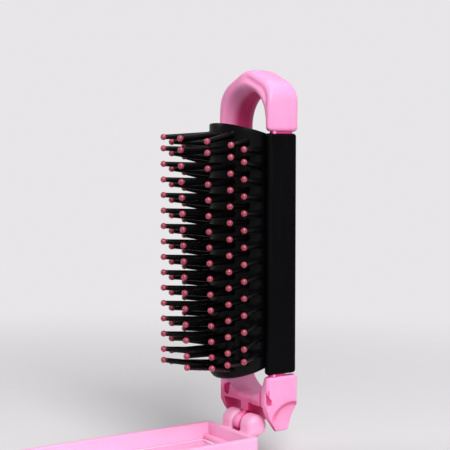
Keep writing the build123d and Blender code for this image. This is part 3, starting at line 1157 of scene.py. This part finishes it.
def pin_sheet(finish):
    """The curved sheet, with its thickness, softened edges and a tucked lower end."""
    across = sheet_across()
    rows = len(LOW_ROWS) + SHEET_ROWS
    points = [point for row in range(rows) for point in sheet_row(across, row)]
    piece = form("pin_sheet_form", points, grid_faces(rows, len(across)), closed=False)
    thick = piece.modifiers.new("thickness", "SOLIDIFY")
    thick.thickness = SHEET_THICKNESS * MM
    thick.offset = -1
    soft = piece.modifiers.new("soft_edge", "BEVEL")
    soft.width = SHEET_SOFT_EDGE * MM
    soft.segments = SHEET_EDGE_STEPS
    soft.limit_method = "ANGLE"
    soft.angle_limit = SHEET_EDGE_ANGLE
    applied(piece)
    nodes = [f"{hand}_{name}_strip" for hand in ("left", "right") for name in COLUMNS]
    add_piece("pin_sheet", mesh_of(piece), "brush", finish, nodes)


def pin_places():
    """Base and ball centre of every pin, by column and side."""
    for index, (name, (count, sides)) in enumerate(COLUMNS.items()):
        for side, (reach, pitch, shift, lean_top, lean_bottom) in sides.items():
            x, y = sheet_point(min((index + 0.5) * COLUMN_SPACING, SHEET_QUARTER), side)
            for row in range(count):
                place = row - (count - 1) / 2
                lean = radians(lean_bottom + (lean_top - lean_bottom) * row / (count - 1))
                height = (place * pitch + shift) * ROW_PITCH
                height += END_ROW_LEAN * ((row == 0) - (row == count - 1))
                if name == "inner" and side < 0 and row < RAISED_TIPS:
                    height += RAISED_TIPS_BY
                base = Vector((x, y, SHEET_MIDDLE + place * ROW_PITCH))
                out = Vector((side * reach * sin(lean), -reach * cos(lean), 0))
                yield name, side, base, Vector((x, y, SHEET_MIDDLE + height)) + out


def ball_profile():
    """The dipped ball's outline, as (distance along the pin, radius)."""
    dome = []
    for k in range(BALL_STEPS + 1):
        turn = pi * (BALL_START + BALL_SPAN * k / BALL_STEPS)
        flatter = 1.0 if turn < pi / 2 else BALL_FLATTER
        dome.append((BALL_RADIUS * (1 - cos(turn) * flatter), BALL_RADIUS * sin(turn)))
    return dome


def pins_and_balls(pin_finish, ball_finish):
    """Every pin grows out of the sheet and ends in a dipped ball."""
    pins = {}
    balls = {}
    for name, side, base, ball in pin_places():
        column = ("left" if side < 0 else "right") + "_" + name
        length = (ball - base).length
        way = (ball - base).normalized()
        profile = list(PIN_ROOT)
        profile += [(share * length, radius) for share, radius in PIN_SHAFT]
        profile += [(length + past, radius) for past, radius in PIN_END]
        pin = turned(base - way * PIN_SUNK, ball, profile, PIN_SIDES)
        pins.setdefault(column, Heap()).add(*pin)
        tip = turned(ball - way * BALL_RADIUS, ball, ball_profile(), BALL_SIDES)
        balls.setdefault(column, Heap()).add(*tip)
    for column, heap in pins.items():
        nodes = [f"{column}_strip"]
        add_piece(f"{column}_pins", heap.mesh("pins"), "brush", pin_finish, nodes)
    for column, heap in balls.items():
        nodes = [f"{column}_balls"]
        add_piece(f"{column}_tips", heap.mesh("tips"), "brush", ball_finish, nodes)


# The stage: a round floor, in metres, that fades out between two distances from the middle
FLOOR_REACH = 1.6
FLOOR_RINGS = 48
FLOOR_SPOKES = 96
FLOOR_HUB = 0.02
FLOOR_FADE = (0.11, 0.36)
ROOM_LIGHT = (1.0, 0.985, 0.99, 1.0)
ROOM_LIGHT_STRENGTH = 0.2
# How much of the backdrop shows in glossy plastic and glass
GLOSSY_SHARE = 0.4
LIT_MIDDLE = (0, 0, 45)
# Place from the lit middle and size, in metres, and power in watts
LAMPS = {
    "key": ((0.60, -0.18, 0.48), (0.40, 0.40), 6.4),
    "overhead": ((0.15, 0.15, 0.85), (0.5, 0.5), 3.4),
    "window": ((-0.40, -0.60, 0.35), (0.25, 0.5), 1.3),
}


def pale_floor():
    """The floor's finish: a plain pale board that fades into the room."""
    f = new_finish("pale_floor")
    place = f.place()
    grain = f.cloud(place, per_metre=90.0)
    tone = f.mix(grain * 0.12, BOARD_PALE, BOARD_GRAIN)
    sockets = {"Base Color": tone, "Roughness": 0.8, "Specular IOR Level": 0.1}
    board = f.node("BsdfPrincipled", {}, sockets)
    clear = f.node("BsdfTransparent")
    distance = f.node("VectorMath", {"operation": "LENGTH"}, {0: place}, output="Value")
    blend = f.node("MixShader", {}, {0: distance.between(*FLOOR_FADE), 1: board, 2: clear})
    f.node("OutputMaterial", {}, {"Surface": blend})
    return f.owner


def stage():
    """A pale floor that fades into a pale room."""
    points = []
    for i in range(FLOOR_RINGS + 1):
        radius = FLOOR_REACH * (i + FLOOR_HUB) / FLOOR_RINGS
        points.extend((radius * c, radius * s, 0) for c, s in circle(FLOOR_SPOKES))
    faces = grid_faces(FLOOR_RINGS + 1, FLOOR_SPOKES, round_columns=True)
    faces.append(tuple(range(FLOOR_SPOKES)))
    mesh = built("floor", points, faces)
    mesh.materials.append(pale_floor())
    floor = bpy.data.objects.new("floor", mesh)
    bpy.context.scene.collection.objects.link(floor)

    world = bpy.data.worlds.new("studio")
    bpy.context.scene.world = world
    room = Finish(world)
    ways = room.node("LightPath").socket.node.outputs
    seen, glossy, through = [
        Value(room, ways[f"Is {kind} Ray"]) for kind in ("Camera", "Glossy", "Transmission")
    ]
    share = (seen + GLOSSY_SHARE * glossy + through).between(0.0, 1.0)
    light = room.node("Background", {}, {"Color": ROOM_LIGHT, "Strength": ROOM_LIGHT_STRENGTH})
    backdrop = room.node("Background", {}, {"Color": ROOM_PALE, "Strength": 1.0})
    both = room.node("MixShader", {}, {0: share, 1: light, 2: backdrop})
    room.node("OutputWorld", {}, {"Surface": both})


def lamps():
    """Soft rectangular lamps that face the brush."""
    middle = HINGE + Vector(LIT_MIDDLE) * MM
    for name, (spot, size, power) in LAMPS.items():
        light = bpy.data.lights.new(name, "AREA")
        light.shape = "RECTANGLE"
        light.size, light.size_y = size
        light.energy = power
        piece = bpy.data.objects.new(name, light)
        piece.location = middle + Vector(spot)
        piece.rotation_euler = (middle - piece.location).to_track_quat("-Z", "Y").to_euler()
        bpy.context.scene.collection.objects.link(piece)


def finish_nodes(finishes):
    """Give each solid that stays in sight its finish."""
    for name, finish in finishes.items():
        mesh = frame["nodes"][name].data
        mesh.materials.clear()
        mesh.materials.append(finish)


place_camera()
pink = pink_moulding("pink_moulding", shade_full_at=0.3, shade_gone_at=0.92)
black = black_moulding()
bar = satin_bar()
finish_nodes({
    "left_rail": pink,
    "right_rail": pink,
    "left_side_bar": bar,
    "right_side_bar": bar,
    "mirror_tape": foam_tape(),
    "hinge_pin": drawn_wire(),
})
# The tray's pink has paler pink painted on as stronger light, and less painted shade
tray_pink = pink_moulding("pink_tray", shade_full_at=-0.25, shade_gone_at=0.35, painted_light_share=0.35)
tray(tray_pink)
mirror(silvered_glass(), tray_pink)
arch(pink_moulding("pink_arch", shade_full_at=0.25, shade_gone_at=0.85, inside=arch_painted_shade))
yoke(pink_moulding("pink_yoke", shade_full_at=0.25, shade_gone_at=0.85, inside=yoke_painted_shade))
# The necks' deep pink is almost all painted shade
necks(pink_moulding("pink_neck_painted_shade", shade_full_at=0.6, shade_gone_at=1.8))
pin_sheet(black)
pins_and_balls(black, rose_tip())
stage()
lamps()
bpy.context.scene.view_settings.view_transform = "Standard"
